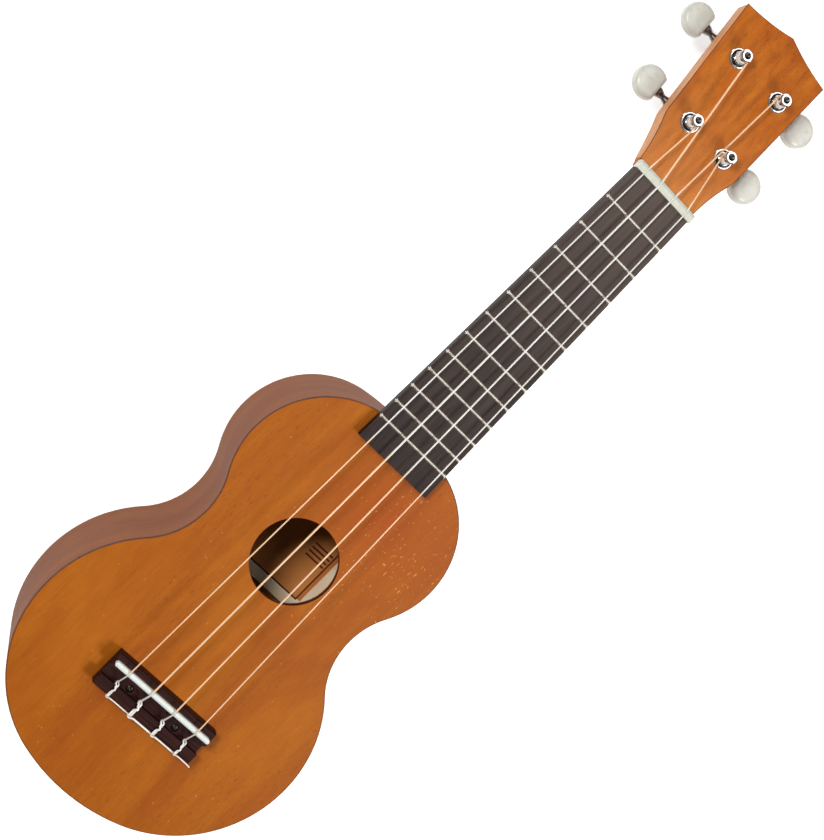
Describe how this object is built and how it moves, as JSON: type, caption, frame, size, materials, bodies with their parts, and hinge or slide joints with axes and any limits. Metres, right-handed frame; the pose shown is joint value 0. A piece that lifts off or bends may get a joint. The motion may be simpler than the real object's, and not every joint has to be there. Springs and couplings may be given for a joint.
{
  "type": "soprano ukulele",
  "caption": "Small four-string ukulele with a waisted wooden body, fretted neck, tied bridge and geared tuning machines.",
  "frame": {"origin": "middle of the footprint, on the underside of the back that the ukulele lies on", "axes": "+Z out of the face, +Y towards the headstock, +X towards the treble (A string) side"},
  "size_m": [0.163, 0.523, 0.0743],
  "materials": {
    "top_wood": "satin stained mahogany, grain along the neck",
    "body_wood": "satin stained mahogany",
    "neck_wood": "satin stained mahogany, grain along the neck",
    "inner_wood": "bare unfinished wood",
    "dark_wood": "dark open-grained wood, oiled",
    "paper": "matt paper with a plain printed frame",
    "fret_metal": "polished nickel silver",
    "nut_plastic": "white moulded plastic, softly polished",
    "chrome": "bright chrome plate",
    "plated_steel": "nickel-plated pressed steel",
    "shaft_metal": "dark plated steel",
    "brass": "cut brass",
    "pearl_plastic": "pearly white plastic",
    "nylon": "translucent white nylon line"
  },
  "bodies": {
    "body": {"soundboard": "top_wood", "back": "body_wood", "left_side": "body_wood", "right_side": "body_wood", "neck_block": "inner_wood", "tail_block": "inner_wood", "top_lining_left": "inner_wood", "top_lining_right": "inner_wood", "back_lining_left": "inner_wood", "back_lining_right": "inner_wood", "top_brace_upper": "inner_wood", "top_brace_lower": "inner_wood", "back_brace_upper": "inner_wood", "back_brace_middle": "inner_wood", "back_brace_lower": "inner_wood", "fan_braces": "inner_wood", "bridge_plate": "inner_wood", "sound_hole_patch": "inner_wood", "paper_label": "paper", "neck": "neck_wood", "neck_dowels": "inner_wood", "fingerboard": "dark_wood", "frets": "fret_metal", "nut": "nut_plastic", "bridge": "dark_wood", "saddle": "nut_plastic", "post_bushings": "chrome", "machine_screws": "chrome", "g_string": "nylon", "g_base_plate": "plated_steel", "c_string": "nylon", "c_base_plate": "plated_steel", "e_string": "nylon", "e_base_plate": "plated_steel", "a_string": "nylon", "a_base_plate": "plated_steel"},
    "g_worm": {"g_worm_shaft": "shaft_metal", "g_button": "pearl_plastic"},
    "g_roller": {"g_post": "chrome", "g_gear": "brass", "g_gear_screw": "plated_steel", "g_winding": "nylon"},
    "c_worm": {"c_worm_shaft": "shaft_metal", "c_button": "pearl_plastic"},
    "c_roller": {"c_post": "chrome", "c_gear": "brass", "c_gear_screw": "plated_steel", "c_winding": "nylon"},
    "e_worm": {"e_worm_shaft": "shaft_metal", "e_button": "pearl_plastic"},
    "e_roller": {"e_post": "chrome", "e_gear": "brass", "e_gear_screw": "plated_steel", "e_winding": "nylon"},
    "a_worm": {"a_worm_shaft": "shaft_metal", "a_button": "pearl_plastic"},
    "a_roller": {"a_post": "chrome", "a_gear": "brass", "a_gear_screw": "plated_steel", "a_winding": "nylon"}
  },
  "joints": [
    {"name": "g_button_turn", "type": "hinge", "parent": "body", "child": "g_worm", "pos_m": [-0.01265, 0.19376, 0.03619], "axis": [1, 0, 0], "continuous": true},
    {"name": "g_post_turn", "type": "hinge", "parent": "body", "child": "g_roller", "pos_m": [-0.01265, 0.191, 0.05573], "axis": [0, 0.2419, 0.9703], "continuous": true},
    {"name": "c_button_turn", "type": "hinge", "parent": "body", "child": "c_worm", "pos_m": [-0.0151, 0.23509, 0.02588], "axis": [1, 0, 0], "continuous": true},
    {"name": "c_post_turn", "type": "hinge", "parent": "body", "child": "c_roller", "pos_m": [-0.0151, 0.23234, 0.04543], "axis": [0, 0.2419, 0.9703], "continuous": true},
    {"name": "e_button_turn", "type": "hinge", "parent": "body", "child": "e_worm", "pos_m": [0.0151, 0.23509, 0.02588], "axis": [1, 0, 0], "continuous": true},
    {"name": "e_post_turn", "type": "hinge", "parent": "body", "child": "e_roller", "pos_m": [0.0151, 0.23234, 0.04543], "axis": [0, 0.2419, 0.9703], "continuous": true},
    {"name": "a_button_turn", "type": "hinge", "parent": "body", "child": "a_worm", "pos_m": [0.01265, 0.19376, 0.03619], "axis": [1, 0, 0], "continuous": true},
    {"name": "a_post_turn", "type": "hinge", "parent": "body", "child": "a_roller", "pos_m": [0.01265, 0.191, 0.05573], "axis": [0, 0.2419, 0.9703], "continuous": true}
  ],
  "couplings": [
    {"joint": "g_post_turn", "follows": "g_button_turn", "ratio": -0.071429},
    {"joint": "c_post_turn", "follows": "c_button_turn", "ratio": -0.071429},
    {"joint": "e_post_turn", "follows": "e_button_turn", "ratio": 0.071429},
    {"joint": "a_post_turn", "follows": "a_button_turn", "ratio": 0.071429}
  ]
}
